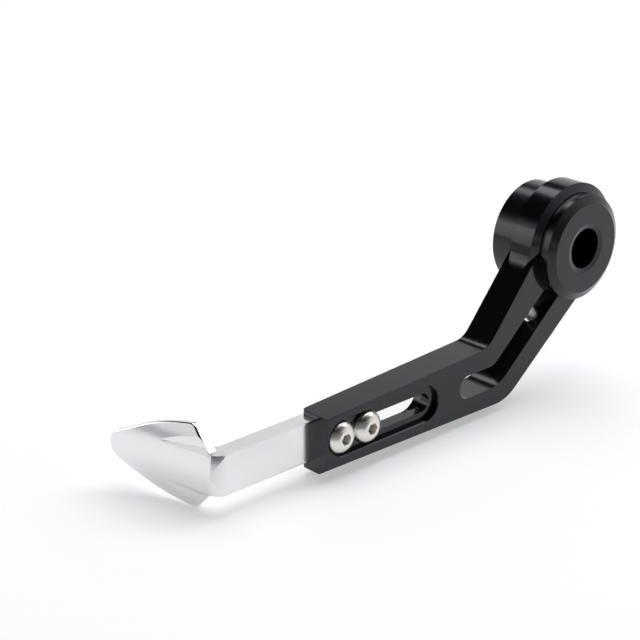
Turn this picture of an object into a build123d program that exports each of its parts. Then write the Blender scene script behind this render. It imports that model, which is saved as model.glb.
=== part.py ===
from build123d import *

import os
from math import cos, radians, sin, tan

# Brake lever guard for a handlebar end, in millimetres.
# The origin is on the eye axis at the hub's rear seat face. +Y points along the bar, towards
# the grip, +X points forward of the bar end and +Z points up. The arm hangs down from the hub
# and reaches out to -X, where a bent blade slides in it.

# Hub: one turned piece that is bolted to the end of the bar
hub_radius = 15.7
hub_length = 22.5
hub_chamfer_radial = 2.4
hub_chamfer_axial = 1.4
hub_rear_chamfer = 0.4
bolt_head_radius = 6.05
bolt_lip_radial = 1.5
bolt_lip_axial = 0.45
bolt_hole_radius = 3.3
bolt_web = 6.0

# Arm: overall
arm_thickness = 10.0
arm_reach = 99.5
arm_drop = 31.85
hub_overhang = 4.3
eye_clearance = 0.05
eye_wall = 2.65
eye_chamfer_radial = 2.4
eye_chamfer_axial = 1.3
edge_break = 0.12
slot_edge_break = 0.3
end_corner_radius = 1.5

# Arm: leg between the eye and the lower section, with each edge's distance from the eye axis
leg_left_angle = 49.3
leg_left_offset = 13.15
leg_right_angle = 38.4
leg_right_offset = 14.87
leg_left_blend = 9.0
leg_right_blend = 6.0

# Arm: lower section, with its height above and below the screw line at the flat end
section_above = 7.15
section_below = 7.75
section_top_angle = 2.5
section_bottom_angle = -1.1
bend_top_radius = 7.0
bend_bottom_radius = 15.0
bevel_height = 2.1
bevel_depth = 3.15

# Arm: clamp slot, from the bore down the leg and along the lower section
clamp_slot_width = 7.0
clamp_slot_angle = 40.3
clamp_slot_offset = 3.3
clamp_slot_bend_radius = 8.0
clamp_slot_end_x = -44.4

# Bar of the tip and its channel in the arm
bar_height = 11.55
bar_thickness = 5.2
bar_free_length = 30.9
bar_clearance = 0.1
bar_edge_height = 0.45
bar_edge_depth = 0.2
tip_travel = 21.9
channel_wall = 4.5
channel_end_gap = 0.5

# Slots in the arm's front wall for the tip screws
first_screw_inset = 5.95
screw_spacing = 9.8
head_slot_depth = 1.5
head_slot_clearance = 0.45
shank_slot_clearance = 0.25

# Blade of the tip
bend_angle = 80.0
bend_outer_radius = 3.8
bend_inner_radius = 1.5
blade_length = 33.8
blade_half_height = 12.1
blade_shoulder = (0.57, 0.77)
blade_cheek = (0.87, 0.41)
blade_top_slope = -0.12
blade_crown_radius = 32.0
blade_nose_thickness = 2.6
blade_taper_start = 6.0
blade_front_round = 0.6
blade_back_chamfer = 1.4
stub_cover = 0.2
wing_corner = 6.2
wing_corner_radius = 2.2
wing_flat_length = 19.5
wing_flat_root_depth = 1.4
wing_flat_tip_depth = 0.3
wing_flat_slope = 0.1
wing_step = 1.9
wing_step_inset = 0.5

# Screws, M5 with a thread of 5 mm
thread_radius = 2.5
thread_clearance = 0.05
seat_gap = 0.05
button_head_radius = 4.75
button_head_height = 2.75
button_head_rim = 0.5
button_head_flat = 2.5
button_dome = (0.84, 0.62)
button_hex = 3.0
button_hex_depth = 1.6
tip_screw_length = 8.0
pinch_head_radius = 4.25
pinch_head_height = 5.0
pinch_head_chamfer = 0.35
pinch_hex = 4.0
pinch_hex_depth = 2.5
pinch_screw_length = 16.0
pinch_hole_clearance = 0.25
pinch_hole_spare = 1.0
pinch_head_clearance = 0.35
pinch_head_sink = 5.3
pinch_distance = 22.2

# Values that follow from the ones above
arm_front = hub_overhang - hub_length
eye_radius = hub_radius + eye_clearance + eye_wall
bore_radius = hub_radius + eye_clearance
screw_line_z = -arm_drop
first_screw_x = first_screw_inset - arm_reach
second_screw_x = first_screw_x + screw_spacing
slot_right_x = second_screw_x + tip_travel
head_slot_radius = button_head_radius + head_slot_clearance
head_slot_floor = arm_front + head_slot_depth
shank_slot_radius = thread_radius + shank_slot_clearance
bar_front = arm_front + channel_wall
bar_back = bar_front + bar_thickness
bend_start_x = -arm_reach - bar_free_length
cut_margin = 5.0
tiny = 0.01


def direction(angle):
    """Unit vector in the front view, at an angle in degrees from +X towards +Z."""
    return cos(radians(angle)), sin(radians(angle))


def meet(line_a, line_b):
    """Point where two lines of the front view cross, each a point and an angle."""
    (ax, az), angle_a = line_a
    (bx, bz), angle_b = line_b
    ux, uz = direction(angle_b)
    along = ((bx - ax) * uz - (bz - az) * ux) / sin(radians(angle_b - angle_a))
    dx, dz = direction(angle_a)
    return ax + along * dx, az + along * dz


def foot(offset, angle):
    """Point of a line nearest to the eye axis; a positive offset lies to the line's right."""
    dx, dz = direction(angle)
    return offset * dz, -offset * dx


def on_front_view(y):
    """Front-view plane at a depth, with X to the right and Z up."""
    return Plane(origin=(0, y, 0), x_dir=(1, 0, 0), z_dir=(0, -1, 0))


def prism(face, front, depth):
    """Solid from a front-view face, from its front plane towards +Y."""
    return extrude(on_front_view(front) * face, amount=-depth)


def slot_face(x_left, x_right, z, radius):
    """Front-view face of a level slot with round ends, given by its end centres."""
    middle = (x_left + x_right) / 2
    return Pos(middle, z) * SlotCenterToCenter(x_right - x_left, 2 * radius)


def hub():
    """Turned bar-end body with a recess for the bolt head and a web that the bolt clamps."""
    front = -hub_length
    outline = Polyline(
        (bolt_hole_radius, 0),
        (hub_radius - hub_rear_chamfer, 0),
        (hub_radius, -hub_rear_chamfer),
        (hub_radius, front + hub_chamfer_axial),
        (hub_radius - hub_chamfer_radial, front),
        (bolt_head_radius + bolt_lip_radial, front),
        (bolt_head_radius, front + bolt_lip_axial),
        (bolt_head_radius, -bolt_web),
        (bolt_hole_radius, -bolt_web),
        close=True,
    )
    return revolve(make_face(outline), Axis.Y)


def arm_lines():
    """Lines of the arm's back outline: top, leg's left side, leg's right side and bottom."""
    top = ((-arm_reach, screw_line_z + section_above), section_top_angle)
    left = (foot(-leg_left_offset, leg_left_angle), leg_left_angle)
    right = (foot(leg_right_offset + bevel_height, leg_right_angle), leg_right_angle)
    bottom = ((-arm_reach, screw_line_z - section_below - bevel_height), section_bottom_angle)
    return top, left, right, bottom


def corner_nearest(face, point):
    """Corner of a face that lies nearest to a point of the front view."""
    target = Vector(point[0], point[1], 0)
    return min(face.vertices(), key=lambda corner: (Vector(*corner) - target).length)


def arm_outline():
    """Front-view face of the leg and the lower section, with both bends rounded."""
    top, left, right, bottom = arm_lines()
    bend_top = meet(top, left)
    bend_bottom = meet(bottom, right)
    face = make_face(Polyline(top[0], bend_top, left[0], right[0], bend_bottom, bottom[0], close=True))
    face = fillet(corner_nearest(face, bend_top), bend_top_radius)
    return fillet(corner_nearest(face, bend_bottom), bend_bottom_radius)


def eye_crossing(line):
    """Point below the eye where a side of the leg crosses the eye's outer circle."""
    (px, pz), angle = line
    dx, dz = direction(angle)
    back = (eye_radius**2 - px**2 - pz**2) ** 0.5
    return px - back * dx, pz - back * dz


def eye_body():
    """Eye with its blends into the leg, chamfered at both rims."""
    left, right = arm_lines()[1:3]
    reach = eye_radius + leg_left_blend
    face = arm_outline() + Circle(eye_radius)
    face = fillet(corner_nearest(face, eye_crossing(left)), leg_left_blend)
    face = fillet(corner_nearest(face, eye_crossing(right)), leg_right_blend)
    solid = prism(face & Circle(reach), arm_front, arm_thickness)
    for rim, inward in ((arm_front, 1), (arm_front + arm_thickness, -1)):
        slope = inward * eye_chamfer_axial / eye_chamfer_radial
        inner = eye_radius - eye_chamfer_radial
        outer = reach + cut_margin
        ring = Polyline(
            (inner, rim),
            (outer, rim + slope * (outer - inner)),
            (outer, rim - inward * cut_margin),
            (inner, rim - inward * cut_margin),
            close=True,
        )
        solid -= revolve(make_face(ring), Axis.Y)
    return solid


def leg_body():
    """Leg and lower section as one plate with its edges broken and the lower bevel cut."""
    plate = prism(arm_outline(), arm_front, arm_thickness)
    back_corner = plate.edges().filter_by(Axis.Z).group_by(Axis.X)[0].sort_by(Axis.Y)[-1]
    plate = fillet(back_corner, end_corner_radius)
    faces = plate.faces().filter_by(Axis.Y).sort_by(Axis.Y)
    back_rims = faces[-1].edges().sort_by(Axis.X)[1:]
    return chamfer(faces[0].edges() + back_rims, edge_break) - lower_bevel()


def lower_bevel():
    """Wedge along the front lower edge, round the bend and up the leg's right side."""
    right, bottom = arm_lines()[2:]
    bend = meet(bottom, right)
    dx, dz = direction(section_bottom_angle)
    rx, rz = direction(leg_right_angle)
    turn = leg_right_angle - section_bottom_angle
    tangent = bend_bottom_radius * tan(radians(turn / 2))
    start = (bottom[0][0] - cut_margin * dx, bottom[0][1] - cut_margin * dz)
    arc_start = (bend[0] - tangent * dx, bend[1] - tangent * dz)
    arc_end = (bend[0] + tangent * rx, bend[1] + tangent * rz)
    stop = (right[0][0] + cut_margin * rx, right[0][1] + cut_margin * rz)
    first = Line(start, arc_start)
    second = TangentArc(arc_start, arc_end, tangent=(dx, dz))
    third = Line(arc_end, stop)
    path = on_front_view(arm_front) * Wire([first, second, third])
    section_plane = Plane(origin=path @ 0, x_dir=(0, 1, 0), z_dir=path % 0)
    wedge = Polyline(
        (-cut_margin, bevel_height * (1 + cut_margin / bevel_depth)),
        (bevel_depth, 0),
        (bevel_depth, -cut_margin),
        (-cut_margin, -cut_margin),
        close=True,
    )
    return sweep(section_plane * make_face(wedge), path=path)


def clamp_slot():
    """Slot that lets the eye close round the hub: along the section, then up into the bore."""
    leg_line = (foot(clamp_slot_offset, clamp_slot_angle), clamp_slot_angle)
    level_line = ((clamp_slot_end_x, screw_line_z), 0.0)
    knee = meet(level_line, leg_line)
    path = FilletPolyline(level_line[0], knee, leg_line[0], radius=clamp_slot_bend_radius)
    face = trace(path, line_width=clamp_slot_width)
    round_end = Pos(*level_line[0]) * Circle(clamp_slot_width / 2)
    return prism(face + round_end, arm_front - cut_margin, arm_thickness + 2 * cut_margin)


def bar_channel():
    """Channel for the bar, open at the arm's back and at its flat end, with a round inner end."""
    right = slot_right_x + channel_end_gap
    face = slot_face(-arm_reach - bar_height, right, screw_line_z, bar_height / 2 + bar_clearance)
    return prism(face, bar_front, arm_thickness)


def screw_slots():
    """Recessed slot for the screw heads and the through slot for their shanks."""
    head = slot_face(first_screw_x, slot_right_x, screw_line_z, head_slot_radius)
    shank = slot_face(first_screw_x, slot_right_x, screw_line_z, shank_slot_radius)
    recess = prism(head, arm_front - cut_margin, head_slot_depth + cut_margin)
    through = prism(shank, arm_front, arm_thickness)
    return recess, through


def pinch_plane():
    """Plane square to the pinch screw, at mid-depth of the arm and level with the eye axis."""
    dx, dz = direction(clamp_slot_angle)
    origin = (-pinch_distance * dx, arm_front + arm_thickness / 2, -pinch_distance * dz)
    return Plane(origin=origin, x_dir=(0, 1, 0), z_dir=(dz, 0, -dx))


def pinch_seat():
    """Distance along the pinch screw from its plane to the seat of its head."""
    skew = radians(clamp_slot_angle - leg_right_angle)
    side = (leg_right_offset + bevel_height - pinch_distance * sin(skew)) / cos(skew)
    return side - pinch_head_sink


def pinch_cuts():
    """Head recess and clearance hole in the outer prong, blind tapped hole in the inner one."""
    plane = pinch_plane()
    seat = pinch_seat()
    depth = pinch_screw_length + pinch_hole_spare
    tap = thread_radius + thread_clearance
    clear = thread_radius + pinch_hole_clearance
    recess = extrude(plane.offset(seat) * Circle(pinch_head_radius + pinch_head_clearance), amount=eye_radius)
    tapped = extrude(plane.offset(seat) * Circle(tap), amount=-depth)
    clearance = extrude(plane.offset(clamp_slot_offset) * Circle(clear), amount=seat)
    return [recess, tapped, clearance]


def front_rims(solid):
    """Rims of the cuts in the arm's front face, without its outer edge."""
    front = solid.faces().filter_by(Axis.Y).sort_by(Axis.Y)[0]
    return [edge for wire in front.inner_wires() for edge in wire.edges()]


def arm():
    """Machined clamp arm."""
    head_recess, shank_slot = screw_slots()
    solid = leg_body() - head_recess
    solid = chamfer(front_rims(solid), slot_edge_break)
    solid += eye_body()
    for cutter in [shank_slot, bar_channel(), clamp_slot()] + pinch_cuts():
        solid -= cutter
    return solid - prism(Circle(bore_radius), arm_front - cut_margin, arm_thickness + 2 * cut_margin)


def blade_plane():
    """Plane at the outer end of the bend: X along the blade, Y up, Z out of its outer face."""
    turn = radians(bend_angle)
    x = bend_start_x - bend_outer_radius * sin(turn)
    y = bar_front + bend_outer_radius * (1 - cos(turn))
    along = (-cos(turn), sin(turn), 0)
    outward = (-sin(turn), -cos(turn), 0)
    return Plane(origin=(x, y, screw_line_z), x_dir=along, z_dir=outward)


def bent_bar():
    """Flat bar with its bend, drawn in plan and as high as the bar."""
    frame = blade_plane()

    def place(along, out):
        point = frame.origin + frame.x_dir * along + frame.z_dir * out
        return point.X, point.Y

    bend_end = place(0, 0)
    stub_front = -blade_crown_drop(bar_height / 2) - stub_cover
    stub_end = place(blade_taper_start, -bar_thickness)
    inner_corner = meet((stub_end, 180 - bend_angle), ((bend_start_x, bar_back), 0))
    inner_end = second_screw_x + bar_height / 2
    front = Line((inner_end, bar_front), (bend_start_x, bar_front))
    bend = TangentArc((bend_start_x, bar_front), bend_end, tangent=(-1, 0))
    rest = Polyline(
        bend_end,
        place(0, stub_front),
        place(blade_taper_start, stub_front),
        stub_end,
        inner_corner,
        (inner_end, bar_back),
        (inner_end, bar_front),
    )
    face = make_face([front, bend, rest])
    face = fillet(corner_nearest(face, inner_corner), bend_inner_radius)
    plane = Plane.XY.offset(screw_line_z - bar_height / 2)
    bar = extrude(plane * face, amount=bar_height)
    front_face = bar.faces().filter_by(Axis.Y).sort_by(Axis.Y)[0]
    rims = front_face.edges().filter_by(Axis.X)
    bar = chamfer(rims, bar_edge_height, bar_edge_depth, reference=front_face)
    rounded = slot_face(-2 * arm_reach, second_screw_x, screw_line_z, bar_height / 2)
    return (bar & prism(rounded, arm_front, arm_reach)) - bend_crown()


def bend_crown():
    """Cutter round the bend, which leaves the bar's end as it is and ends in the blade's crown.

    It turns about an axis behind the bend's own, so that it meets the bend only at the blade.
    """
    frame = blade_plane()
    clear_radius = bend_outer_radius + blade_crown_drop(bar_height / 2)
    flatness = bend_outer_radius - clear_radius * cos(radians(bend_angle))
    setback = (clear_radius**2 - bend_outer_radius**2) / (2 * flatness)
    radius = bend_outer_radius + setback
    center = frame.origin - frame.z_dir * radius
    high = bar_height / 2 + cut_margin
    middle = center.Y - radius
    back = middle + blade_crown_drop(high)
    front = middle - cut_margin
    arc = ThreePointArc((back, -high), (middle, 0), (back, high))
    rest = Polyline((back, high), (front, high), (front, -high), (back, -high))
    plane = Plane(origin=(center.X, 0, screw_line_z), x_dir=(0, 1, 0), z_dir=(1, 0, 0))
    axis = Axis((center.X, center.Y, 0), (0, 0, -1))
    return revolve(plane * make_face([arc, rest]), axis, bend_angle)


def blade_crown_drop(height):
    """How far the crowned face falls back at a height above or below the blade's middle."""
    return blade_crown_radius - (blade_crown_radius**2 - height**2) ** 0.5


def blade_outline():
    """Side view of the blade: rear edges, rounded corners and a rounded nose."""
    half = blade_half_height
    points = [(blade_length * along, half * up) for along, up in (blade_shoulder, blade_cheek)]
    upper = Spline((wing_corner, half), *points, (blade_length, 0), tangents=[(1, blade_top_slope), (0, -1)])
    rear = Polyline((0, 0), (0, bar_height / 2), (wing_corner, half))
    half_face = make_face([rear, upper, Line((blade_length, 0), (0, 0))])
    face = half_face + mirror(half_face, Plane.XZ)
    corners = [corner_nearest(face, (wing_corner, side * half)) for side in (1, -1)]
    return fillet(corners, wing_corner_radius)


def blade_blank():
    """Blade with its crowned outer face and a back that tapers towards the nose."""
    frame = blade_plane()
    half = blade_half_height + cut_margin
    side = extrude(frame.offset(-2 * bar_thickness) * blade_outline(), amount=3 * bar_thickness)
    cylinder = Rot(0, 90, 0) * Cylinder(blade_crown_radius, 4 * blade_length)
    crown = frame * Pos(0, 0, -blade_crown_radius) * cylinder
    taper = make_face(
        Polyline(
            (-cut_margin, cut_margin),
            (blade_length + cut_margin, cut_margin),
            (blade_length + cut_margin, -blade_nose_thickness),
            (blade_taper_start, -bar_thickness),
            (-cut_margin, -bar_thickness),
            close=True,
        )
    )
    plan = Plane(origin=frame.origin, x_dir=frame.x_dir, z_dir=-frame.y_dir)
    slab = extrude(plan.offset(-half) * taper, amount=2 * half)
    return (side & crown) & slab


def blade_rims(blade):
    """Outline edges of the blade's outer face and of its back, without the end at the bar."""
    frame = blade_plane()
    front = []
    back = []
    for wall in blade.faces():
        middle = frame.to_local_coords(wall.center())
        if abs(wall.normal_at().dot(frame.z_dir)) > tiny or middle.X < tiny:
            continue
        for edge in wall.edges():
            if (edge @ 1 - edge @ 0).cross(frame.z_dir).length < tiny:
                continue
            if frame.to_local_coords(edge.center()).Z > middle.Z:
                front.append(edge)
            else:
                back.append(edge)
    return front, back


def wing_flat(side):
    """Cutter for the flat beside the spine, which runs out towards the nose."""
    frame = blade_plane()
    spine = bar_height / 2 - wing_step_inset
    edge = blade_half_height + cut_margin
    sections = []
    ends = ((-tiny, wing_flat_root_depth, wing_step), (wing_flat_length, wing_flat_tip_depth, tiny))
    for along, depth, step in ends:
        fall = wing_flat_slope * (edge - spine - step)
        outline = Polyline(
            (side * spine, cut_margin),
            (side * spine, -blade_crown_drop(spine)),
            (side * (spine + step), -depth),
            (side * edge, -depth - fall),
            (side * edge, cut_margin),
            close=True,
        )
        plane = Plane(origin=frame.origin + frame.x_dir * along, x_dir=frame.y_dir, z_dir=frame.x_dir)
        sections.append(plane * make_face(outline))
    return loft(sections, ruled=True)


def tip():
    """Bright guard tip: flat bar, bend and crowned blade in one piece."""
    blade = chamfer(blade_rims(blade_blank())[1], blade_back_chamfer)
    blade = fillet(blade_rims(blade)[0], blade_front_round)
    for side in (1, -1):
        blade -= wing_flat(side)
    solid = bent_bar() + blade
    for x in (first_screw_x, second_screw_x):
        hole = Pos(x, screw_line_z) * Circle(thread_radius + thread_clearance)
        solid -= prism(hole, bar_front - cut_margin, bar_thickness + 2 * cut_margin)
    return solid


def tip_screw(x):
    """Button-head screw: domed head with a hexagon socket, and a plain shank."""
    seat = head_slot_floor - seat_gap
    top = seat - button_head_height
    outline = [
        Line((0, top), (button_head_flat, top)),
        ThreePointArc(
            (button_head_flat, top),
            (button_head_radius * button_dome[0], seat - button_head_height * button_dome[1]),
            (button_head_radius, seat - button_head_rim),
        ),
        Polyline(
            (button_head_radius, seat - button_head_rim),
            (button_head_radius, seat),
            (thread_radius, seat),
            (thread_radius, seat + tip_screw_length),
            (0, seat + tip_screw_length),
            (0, top),
        ),
    ]
    body = revolve(make_face(outline), Axis.Y)
    socket = RegularPolygon(button_hex / 2, 6, major_radius=False)
    body -= prism(socket, top, button_hex_depth)
    return Pos(x, 0, screw_line_z) * body


def pinch_screw():
    """Socket-head screw that closes the clamp slot."""
    plane = pinch_plane().offset(pinch_seat() + seat_gap)
    head = extrude(plane * Circle(pinch_head_radius), amount=pinch_head_height)
    top_edge = head.edges().sort_by(lambda edge: (edge.center() - plane.origin).length)[-1]
    head = chamfer(top_edge, pinch_head_chamfer)
    shank = extrude(plane * Circle(thread_radius), amount=-pinch_screw_length)
    socket = RegularPolygon(pinch_hex / 2, 6, major_radius=False)
    recess = extrude(plane.offset(pinch_head_height) * socket, amount=-pinch_hex_depth)
    return head + shank - recess


def write(name, shape):
    """Write one node's solids to its own file."""
    export_step(shape, os.path.join("parts", name + ".step"))


os.makedirs("parts", exist_ok=True)
write("hub", hub())
write("arm", arm())
write("tip", tip())
write("tip_screws", Compound(children=[tip_screw(first_screw_x), tip_screw(second_screw_x)]))
write("pinch_screw", pinch_screw())
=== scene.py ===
import math

import bpy
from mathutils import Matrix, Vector


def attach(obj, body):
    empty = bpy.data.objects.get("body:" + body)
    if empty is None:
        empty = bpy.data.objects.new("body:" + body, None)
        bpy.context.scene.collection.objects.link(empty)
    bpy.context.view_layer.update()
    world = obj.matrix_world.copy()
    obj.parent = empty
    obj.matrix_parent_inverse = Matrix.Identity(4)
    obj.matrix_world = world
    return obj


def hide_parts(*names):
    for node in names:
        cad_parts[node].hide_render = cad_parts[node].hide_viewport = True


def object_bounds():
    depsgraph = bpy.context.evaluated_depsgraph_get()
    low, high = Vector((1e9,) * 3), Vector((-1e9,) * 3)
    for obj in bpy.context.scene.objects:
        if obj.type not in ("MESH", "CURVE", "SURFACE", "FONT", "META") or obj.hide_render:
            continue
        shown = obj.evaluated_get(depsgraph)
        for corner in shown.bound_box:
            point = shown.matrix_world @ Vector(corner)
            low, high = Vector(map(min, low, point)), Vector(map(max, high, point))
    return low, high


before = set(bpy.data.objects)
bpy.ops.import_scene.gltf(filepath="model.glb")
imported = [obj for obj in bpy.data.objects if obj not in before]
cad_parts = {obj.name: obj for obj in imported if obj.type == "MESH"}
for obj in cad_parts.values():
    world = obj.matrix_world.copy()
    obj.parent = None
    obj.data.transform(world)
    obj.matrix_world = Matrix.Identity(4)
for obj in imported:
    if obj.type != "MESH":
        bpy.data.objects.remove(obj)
cad_box = [list(corner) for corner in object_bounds()]

# Units and plain values
MM = 0.001
WHITE = (1, 1, 1, 1)
EVEN = (1, 1, 1)

# Camera of the photograph: place in metres, angles in degrees, focal length in pixels
CAMERA_PLACE = (-0.3972, -0.3322, 0.1769)
CAMERA_AZIMUTH = -43.23
CAMERA_ELEVATION = 21.816
CAMERA_CLIP = 0.01
FOCAL_PIXELS = 1816.0
IMAGE_PIXELS = 640
SENSOR_MM = 36.0

# Floor in metres: its own glow rises from the near distance to the far one, where less light reaches
FLOOR_HALF = 4.0
FLOOR_COLOUR = (0.715, 0.73, 0.75, 1)
FLOOR_GLOW = 0.4
FLOOR_GLOW_FAR = 0.96
FLOOR_NEAR = 0.4
FLOOR_FAR = 2.2
FLOOR_GAP = 0.00005

# Dark cards on the floor that paint dark reflections, seen only in mirrors where the lit floor would show:
# outline, the point they fade in from, its distances and the opacity
CARD_COLOUR = (0.02, 0.02, 0.02, 1)
CARD_GAP = 0.0002
FRONT_CARD = (
    (-0.6, -0.6),
    (-0.03, -0.6),
    (-0.07, -0.1),
    (-0.09, -0.03),
    (-0.14, -0.02),
    (-0.155, -0.008),
    (-0.6, 0.02),
)
FRONT_CARD_FROM = (-0.112, -0.014)
FRONT_CARD_FADE = (0.01, 0.145)
FRONT_CARD_OPACITY = 0.97
SIDE_CARD = ((-0.205, 0.01), (-0.194, 0.093), (-0.723, 0.821), (-1.041, 0.1))
SIDE_CARD_FROM = (-0.135, 0.012)
SIDE_CARD_FADE = (0.06, 0.16)
SIDE_CARD_OPACITY = 0.6

# Backdrop of the studio: bright behind the object up to one height, dark above another and in front
BACKDROP_TOP = 0.43
CEILING_START = 0.57
BACKDROP_LEVEL = 0.9
CEILING_LEVEL = 0.016
BACKDROP_TOWARDS = (0.685, 0.729, 0.0)
ROOM_START = -0.75
BACKDROP_START = -0.15
ROOM_LEVEL = 0.17

# Soft boxes: place, width and height in metres, and watts; they all look at one point
LIGHT_TARGET = (-0.06, 0.0, -0.02)
LIGHTS = {
    "overhead": ((0.3, 0.2, 1.2), (1.2, 1.2), 12.2),
    "right": ((0.62, -0.24, 0.72), (0.5, 0.5), 2.2),
    "left_back": ((-0.77, 0.755, 0.17), (0.3, 0.55), 1.0),
}

# Noise of the finishes: the range of values that it mostly fills, and its detail
NOISE_RANGE = (0.3, 0.7)
NOISE_DETAIL = 3.0

# Finishes: two tones, scales of clouds and grain, roughness, and the bump's strength and depth in metres
BLACK_TONES = ((0.0018, 0.0019, 0.0024), (0.0028, 0.0029, 0.0036))
BLACK_CLOUD = 90
BLACK_GRAIN = 2600
BLACK_BUMP = (0.04, 0.00001)
BLACK_SPECULAR = 0.44
BLACK_TINT = (0.9, 0.94, 1.0, 1)
HUB_ROUGHNESS = (0.18, 0.22)
HUB_STRETCH = (1, 0.2, 1)
ARM_ROUGHNESS = (0.13, 0.17)
SILVER_TONES = ((0.79, 0.797, 0.805), (0.83, 0.836, 0.842))
SILVER_CLOUD = 60
SILVER_GRAIN = 1800
SILVER_STRETCH = (0.12, 0.12, 1.0)
SILVER_ROUGHNESS = (0.15, 0.2)
SILVER_BUMP = (0.05, 0.00002)
STEEL_TONES = ((0.72, 0.7, 0.66), (0.83, 0.815, 0.785))
STEEL_GRAIN = 1400
STEEL_ROUGHNESS = (0.26, 0.34)
STEEL_BUMP = (0.02, 0.00001)

# Pinch screw in millimetres, in the part's frame: where its axis passes the arm, and its sizes
PINCH_POINT = (-16.931, -13.2, -14.359)
PINCH_ANGLE = 40.3
PINCH_SEAT = 10.993
PINCH_LENGTH = 16.0
PINCH_HEAD_RADIUS = 4.25
PINCH_HEAD_HEIGHT = 5.0
PINCH_HEAD_CHAMFER = 0.35
PINCH_HEX = 4.0
PINCH_HEX_DEPTH = 2.5
THREAD_RADIUS = 2.5
THREAD_DEPTH = 0.45
THREAD_PITCH = 0.8
THREAD_CREST = 0.1
THREAD_BASE = 0.62
THREAD_SINK = 0.05
SHARP_ANGLE = 40.0
RING_STEPS = 48


def node(tree, kind, **values):
    """Add a shader node and set its own settings, or its input sockets by name."""
    item = tree.nodes.new(kind)
    for key, value in values.items():
        if hasattr(item, key):
            setattr(item, key, value)
        else:
            item.inputs[key].default_value = value
    return item


def new_material(name):
    """A node material with a Principled shader wired to its output."""
    material = bpy.data.materials.new(name)
    material.use_nodes = True
    tree = material.node_tree
    shader = next(item for item in tree.nodes if item.type == "BSDF_PRINCIPLED")
    return material, tree, shader


def add_object(name, data):
    """Put a new object with this data into the scene."""
    item = bpy.data.objects.new(name, data)
    bpy.context.scene.collection.objects.link(item)
    return item


def combine(tree, operation, first, second):
    """Join two sockets by one kind of arithmetic; returns the result socket."""
    item = node(tree, "ShaderNodeMath", operation=operation)
    tree.links.new(first, item.inputs[0])
    tree.links.new(second, item.inputs[1])
    return item.outputs["Value"]


def map_range(tree, socket, given, wanted, interpolation="LINEAR"):
    """Map a socket from one pair of values to another; returns the result socket."""
    item = node(tree, "ShaderNodeMapRange", interpolation_type=interpolation)
    item.inputs["From Min"].default_value, item.inputs["From Max"].default_value = given
    item.inputs["To Min"].default_value, item.inputs["To Max"].default_value = wanted
    tree.links.new(socket, item.inputs["Value"])
    return item.outputs["Result"]


def smooth_range(tree, socket, given, wanted):
    """Smooth step from one pair of values to another; returns the result socket."""
    return map_range(tree, socket, given, wanted, "SMOOTHSTEP")


def object_noise(tree, scale, stretch=EVEN):
    """Noise in object space, stretched along the axes; returns its factor socket."""
    place = node(tree, "ShaderNodeTexCoord")
    mapping = node(tree, "ShaderNodeMapping", Scale=stretch)
    noise = node(tree, "ShaderNodeTexNoise", Scale=scale, Detail=NOISE_DETAIL)
    tree.links.new(place.outputs["Object"], mapping.inputs["Vector"])
    tree.links.new(mapping.outputs["Vector"], noise.inputs["Vector"])
    return noise.outputs["Fac"]


def two_tone(tree, socket, dark, light):
    """Blend two colours by a 0 to 1 socket; returns the colour socket."""
    item = node(tree, "ShaderNodeMix", data_type="RGBA")
    item.inputs["A"].default_value = (*dark, 1)
    item.inputs["B"].default_value = (*light, 1)
    tree.links.new(socket, item.inputs["Factor"])
    return item.outputs["Result"]


def add_bump(tree, shader, socket, strength, distance):
    """Drive the shader's normal from a height socket."""
    bump = node(tree, "ShaderNodeBump", Strength=strength, Distance=distance)
    tree.links.new(socket, bump.inputs["Height"])
    tree.links.new(bump.outputs["Normal"], shader.inputs["Normal"])


def wire_finish(tree, shader, cloud, tones, grain, roughness, bump):
    """Wire a finish: two tones blended by clouds, with uneven gloss and relief from the grain."""
    colour = two_tone(tree, cloud, *tones)
    gloss = map_range(tree, grain, NOISE_RANGE, roughness)
    tree.links.new(colour, shader.inputs["Base Color"])
    tree.links.new(gloss, shader.inputs["Roughness"])
    add_bump(tree, shader, grain, *bump)


def black_anodised(name, roughness, stretch):
    """Black anodised aluminium: near-black, a fine blasted grain and slightly uneven gloss."""
    material, tree, shader = new_material(name)
    grain = object_noise(tree, BLACK_GRAIN, stretch)
    cloud = object_noise(tree, BLACK_CLOUD)
    shader.inputs["Specular IOR Level"].default_value = BLACK_SPECULAR
    shader.inputs["Specular Tint"].default_value = BLACK_TINT
    wire_finish(tree, shader, cloud, BLACK_TONES, grain, roughness, BLACK_BUMP)
    return material


def silver_anodised(name):
    """Silver anodised aluminium with a very fine satin grain."""
    material, tree, shader = new_material(name)
    grain = object_noise(tree, SILVER_GRAIN, SILVER_STRETCH)
    cloud = object_noise(tree, SILVER_CLOUD)
    shader.inputs["Metallic"].default_value = 1.0
    wire_finish(tree, shader, cloud, SILVER_TONES, grain, SILVER_ROUGHNESS, SILVER_BUMP)
    return material


def screw_steel(name):
    """Plain stainless steel, its tone and gloss both uneven by one fine grain."""
    material, tree, shader = new_material(name)
    grain = object_noise(tree, STEEL_GRAIN)
    shader.inputs["Metallic"].default_value = 1.0
    wire_finish(tree, shader, grain, STEEL_TONES, grain, STEEL_ROUGHNESS, STEEL_BUMP)
    return material


def circle_of(radius):
    """Ring outline with one radius."""
    return lambda turn: radius


def hexagon_of(across):
    """Ring outline of a hexagon, given across its flats."""
    flat = math.pi / 3
    return lambda turn: across / 2 / math.cos((turn + flat / 2) % flat - flat / 2)


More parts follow.
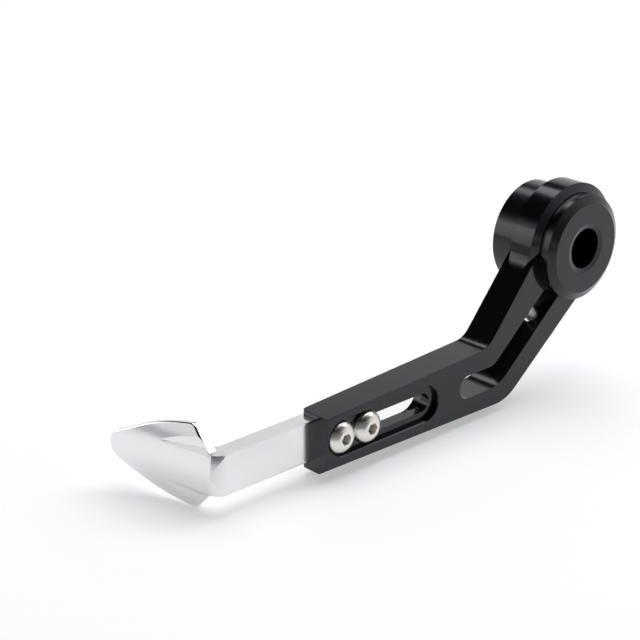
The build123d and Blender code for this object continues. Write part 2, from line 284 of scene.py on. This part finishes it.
def ring_stack(rings):
    """Points and faces of closed rings along one axis, each a height and a function from angle to radius."""
    turns = [2 * math.pi * step / RING_STEPS for step in range(RING_STEPS)]
    points = []
    for height, radius in rings:
        points += [(radius(turn) * math.cos(turn), radius(turn) * math.sin(turn), height) for turn in turns]
    faces = [tuple(range(RING_STEPS))[::-1]]
    for row in range(len(rings) - 1):
        low = row * RING_STEPS
        high = low + RING_STEPS
        for step in range(RING_STEPS):
            after = (step + 1) % RING_STEPS
            faces.append((low + step, low + after, high + after, high + step))
    last = (len(rings) - 1) * RING_STEPS
    faces.append(tuple(range(last, last + RING_STEPS)))
    return points, faces


def thread_ridge():
    """Points and faces of the thread: a ridge swept along a helix, closed at both ends."""
    inner = THREAD_RADIUS - THREAD_DEPTH - THREAD_SINK
    profile = (
        (inner, -THREAD_BASE / 2),
        (THREAD_RADIUS, -THREAD_CREST / 2),
        (THREAD_RADIUS, THREAD_CREST / 2),
        (inner, THREAD_BASE / 2),
    )
    corners = len(profile)
    steps = round((PINCH_LENGTH / THREAD_PITCH - 1) * RING_STEPS)
    points = []
    for step in range(steps + 1):
        turn = 2 * math.pi * step / RING_STEPS
        middle = -PINCH_LENGTH + THREAD_PITCH / 2 + THREAD_PITCH * step / RING_STEPS
        across, along = math.cos(turn), math.sin(turn)
        points += [(radius * across, radius * along, middle + rise) for radius, rise in profile]
    faces = [tuple(range(corners))]
    for step in range(steps):
        low = step * corners
        high = low + corners
        for corner in range(corners):
            after = (corner + 1) % corners
            faces.append((low + after, low + corner, high + corner, high + after))
    faces.append(tuple(range(steps * corners, len(points)))[::-1])
    return points, faces


def pinch_screw_mesh(name):
    """Socket-head screw along its own Z, in millimetres: a stack of core, head and socket, and the thread."""
    core = circle_of(THREAD_RADIUS - THREAD_DEPTH)
    points, faces = ring_stack(
        [
            (-PINCH_LENGTH, core),
            (0.0, core),
            (0.0, circle_of(PINCH_HEAD_RADIUS)),
            (PINCH_HEAD_HEIGHT - PINCH_HEAD_CHAMFER, circle_of(PINCH_HEAD_RADIUS)),
            (PINCH_HEAD_HEIGHT, circle_of(PINCH_HEAD_RADIUS - PINCH_HEAD_CHAMFER)),
            (PINCH_HEAD_HEIGHT, hexagon_of(PINCH_HEX)),
            (PINCH_HEAD_HEIGHT - PINCH_HEX_DEPTH, hexagon_of(PINCH_HEX)),
        ]
    )
    ridge_points, ridge_faces = thread_ridge()
    faces += [tuple(len(points) + index for index in face) for face in ridge_faces]
    mesh = bpy.data.meshes.new(name)
    mesh.from_pydata(points + ridge_points, [], faces)
    mesh.shade_smooth()
    mesh.set_sharp_from_angle(angle=math.radians(SHARP_ANGLE))
    return mesh


def threaded_pinch_screw(material):
    """Screw with a real thread, in the place of its plain stand-in."""
    mesh = pinch_screw_mesh("pinch_screw_threaded")
    mesh.materials.append(material)
    screw = add_object("pinch_screw_threaded", mesh)
    angle = math.radians(PINCH_ANGLE)
    axis = Vector((math.sin(angle), 0, -math.cos(angle)))
    screw.rotation_mode = "QUATERNION"
    screw.rotation_quaternion = axis.to_track_quat("Z", "Y")
    screw.location = (Vector(PINCH_POINT) + axis * PINCH_SEAT) * MM
    screw.scale = (MM, MM, MM)
    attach(screw, "arm")
    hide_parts("pinch_screw")


def dress(name, material):
    """Give a CAD node its finished material."""
    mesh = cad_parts[name].data
    mesh.materials.clear()
    mesh.materials.append(material)


def dress_nodes():
    """Finish every CAD node, and put the threaded screw in the place of the plain one."""
    dress("hub", black_anodised("black_hub", HUB_ROUGHNESS, HUB_STRETCH))
    dress("arm", black_anodised("black_arm", ARM_ROUGHNESS, EVEN))
    dress("tip", silver_anodised("silver_tip"))
    steel = screw_steel("screw_steel")
    dress("tip_screws", steel)
    dress("pinch_screw", steel)
    threaded_pinch_screw(steel)


def flat_sheet(name, corners, height, material):
    """Flat polygon at one height."""
    mesh = bpy.data.meshes.new(name)
    mesh.from_pydata([(x, y, height) for x, y in corners], [], [tuple(range(len(corners)))])
    mesh.materials.append(material)
    return add_object(name, mesh)


def seen_rays(tree):
    """1 for rays from the camera, mirrors and glass, 0 for those that only light things."""
    path = node(tree, "ShaderNodeLightPath")
    first = combine(tree, "MAXIMUM", path.outputs["Is Camera Ray"], path.outputs["Is Glossy Ray"])
    return combine(tree, "MAXIMUM", first, path.outputs["Is Transmission Ray"])


def floor_material():
    """Pale matte table: it takes the shadow, and glows where it is seen, more where less light reaches."""
    material = bpy.data.materials.new("floor")
    material.use_nodes = True
    tree = material.node_tree
    tree.nodes.clear()
    matte = node(tree, "ShaderNodeBsdfDiffuse", Color=FLOOR_COLOUR)
    glow = node(tree, "ShaderNodeEmission")
    place = node(tree, "ShaderNodeTexCoord")
    away = node(tree, "ShaderNodeVectorMath", operation="LENGTH")
    tree.links.new(place.outputs["Object"], away.inputs[0])
    rise = smooth_range(tree, away.outputs["Value"], (FLOOR_NEAR, FLOOR_FAR), (FLOOR_GLOW, FLOOR_GLOW_FAR))
    level = combine(tree, "MULTIPLY", seen_rays(tree), rise)
    tree.links.new(level, glow.inputs["Strength"])
    both = node(tree, "ShaderNodeAddShader")
    output = node(tree, "ShaderNodeOutputMaterial")
    tree.links.new(matte.outputs["BSDF"], both.inputs[0])
    tree.links.new(glow.outputs["Emission"], both.inputs[1])
    tree.links.new(both.outputs["Shader"], output.inputs["Surface"])
    return material


def make_floor():
    """Large flat floor just under the object's lowest point."""
    corners = [(x * FLOOR_HALF, y * FLOOR_HALF) for x, y in ((-1, -1), (1, -1), (1, 1), (-1, 1))]
    floor = flat_sheet("floor", corners, cad_box[0][2] - FLOOR_GAP, floor_material())


def card_material(name, start, fade, opacity):
    """Dark and matte, for painted dark reflections; it fades in with the distance from a point."""
    material, tree, shader = new_material(name)
    shader.inputs["Base Color"].default_value = CARD_COLOUR
    shader.inputs["Roughness"].default_value = 1.0
    place = node(tree, "ShaderNodeTexCoord")
    away = node(tree, "ShaderNodeVectorMath", operation="DISTANCE")
    away.inputs[1].default_value = start
    tree.links.new(place.outputs["Object"], away.inputs[0])
    alpha = smooth_range(tree, away.outputs["Value"], fade, (0.0, opacity))
    tree.links.new(alpha, shader.inputs["Alpha"])
    return material


def make_dark_card(name, corners, start, fade, opacity):
    """Dark card on the floor that only mirrors see: a painted dark reflection, hidden from the camera, from
    diffuse light and from shadows.
    """
    height = cad_box[0][2] + CARD_GAP
    card = flat_sheet(name, corners, height, card_material(name, (*start, height), fade, opacity))
    card.visible_camera = False
    card.visible_diffuse = False
    card.visible_shadow = False


def make_dark_cards():
    """Painted dark reflections: one card towards the camera and one to the left."""
    make_dark_card("front_card", FRONT_CARD, FRONT_CARD_FROM, FRONT_CARD_FADE, FRONT_CARD_OPACITY)
    make_dark_card("side_card", SIDE_CARD, SIDE_CARD_FROM, SIDE_CARD_FADE, SIDE_CARD_OPACITY)


def make_world():
    """Studio surround: a white backdrop low down and a dark ceiling above it, all white to the camera."""
    world = bpy.data.worlds.new("studio")
    bpy.context.scene.world = world
    world.use_nodes = True
    tree = world.node_tree
    tree.nodes.clear()
    place = node(tree, "ShaderNodeTexCoord")
    split = node(tree, "ShaderNodeSeparateXYZ")
    tree.links.new(place.outputs["Generated"], split.inputs["Vector"])
    rise = (BACKDROP_TOP, CEILING_START)
    height = smooth_range(tree, split.outputs["Z"], rise, (BACKDROP_LEVEL, CEILING_LEVEL))
    behind = node(tree, "ShaderNodeVectorMath", operation="DOT_PRODUCT")
    behind.inputs[1].default_value = BACKDROP_TOWARDS
    tree.links.new(place.outputs["Generated"], behind.inputs[0])
    side = smooth_range(tree, behind.outputs["Value"], (ROOM_START, BACKDROP_START), (ROOM_LEVEL, 1.0))
    level = combine(tree, "MULTIPLY", height, side)
    path = node(tree, "ShaderNodeLightPath")
    strength = combine(tree, "MAXIMUM", level, path.outputs["Is Camera Ray"])
    background = node(tree, "ShaderNodeBackground", Color=WHITE)
    tree.links.new(strength, background.inputs["Strength"])
    output = node(tree, "ShaderNodeOutputWorld")
    tree.links.new(background.outputs["Background"], output.inputs["Surface"])


def add_light(name, place, size, watts):
    """Soft box that looks at the object."""
    data = bpy.data.lights.new(name, "AREA")
    data.shape = "RECTANGLE"
    data.size, data.size_y = size
    data.energy = watts
    light = add_object(name, data)
    light.location = place
    light.rotation_euler = (Vector(place) - Vector(LIGHT_TARGET)).to_track_quat("Z", "Y").to_euler()


def make_lights():
    """All the soft boxes."""
    for name, (place, size, watts) in LIGHTS.items():
        add_light(name, place, size, watts)


def make_camera():
    """Camera at the photograph's place, level and with no shift."""
    azimuth = math.radians(CAMERA_AZIMUTH)
    elevation = math.radians(CAMERA_ELEVATION)
    back = Vector(
        (
            math.sin(azimuth) * math.cos(elevation),
            -math.cos(azimuth) * math.cos(elevation),
            math.sin(elevation),
        )
    )
    data = bpy.data.cameras.new("camera")
    data.sensor_width = SENSOR_MM
    data.lens = FOCAL_PIXELS / IMAGE_PIXELS * SENSOR_MM
    data.clip_start = CAMERA_CLIP
    camera = add_object("camera", data)
    camera.location = CAMERA_PLACE
    camera.rotation_euler = back.to_track_quat("Z", "Y").to_euler()
    bpy.context.scene.camera = camera


dress_nodes()
make_floor()
make_dark_cards()
make_world()
make_lights()
make_camera()
bpy.context.scene.view_settings.view_transform = "Standard"
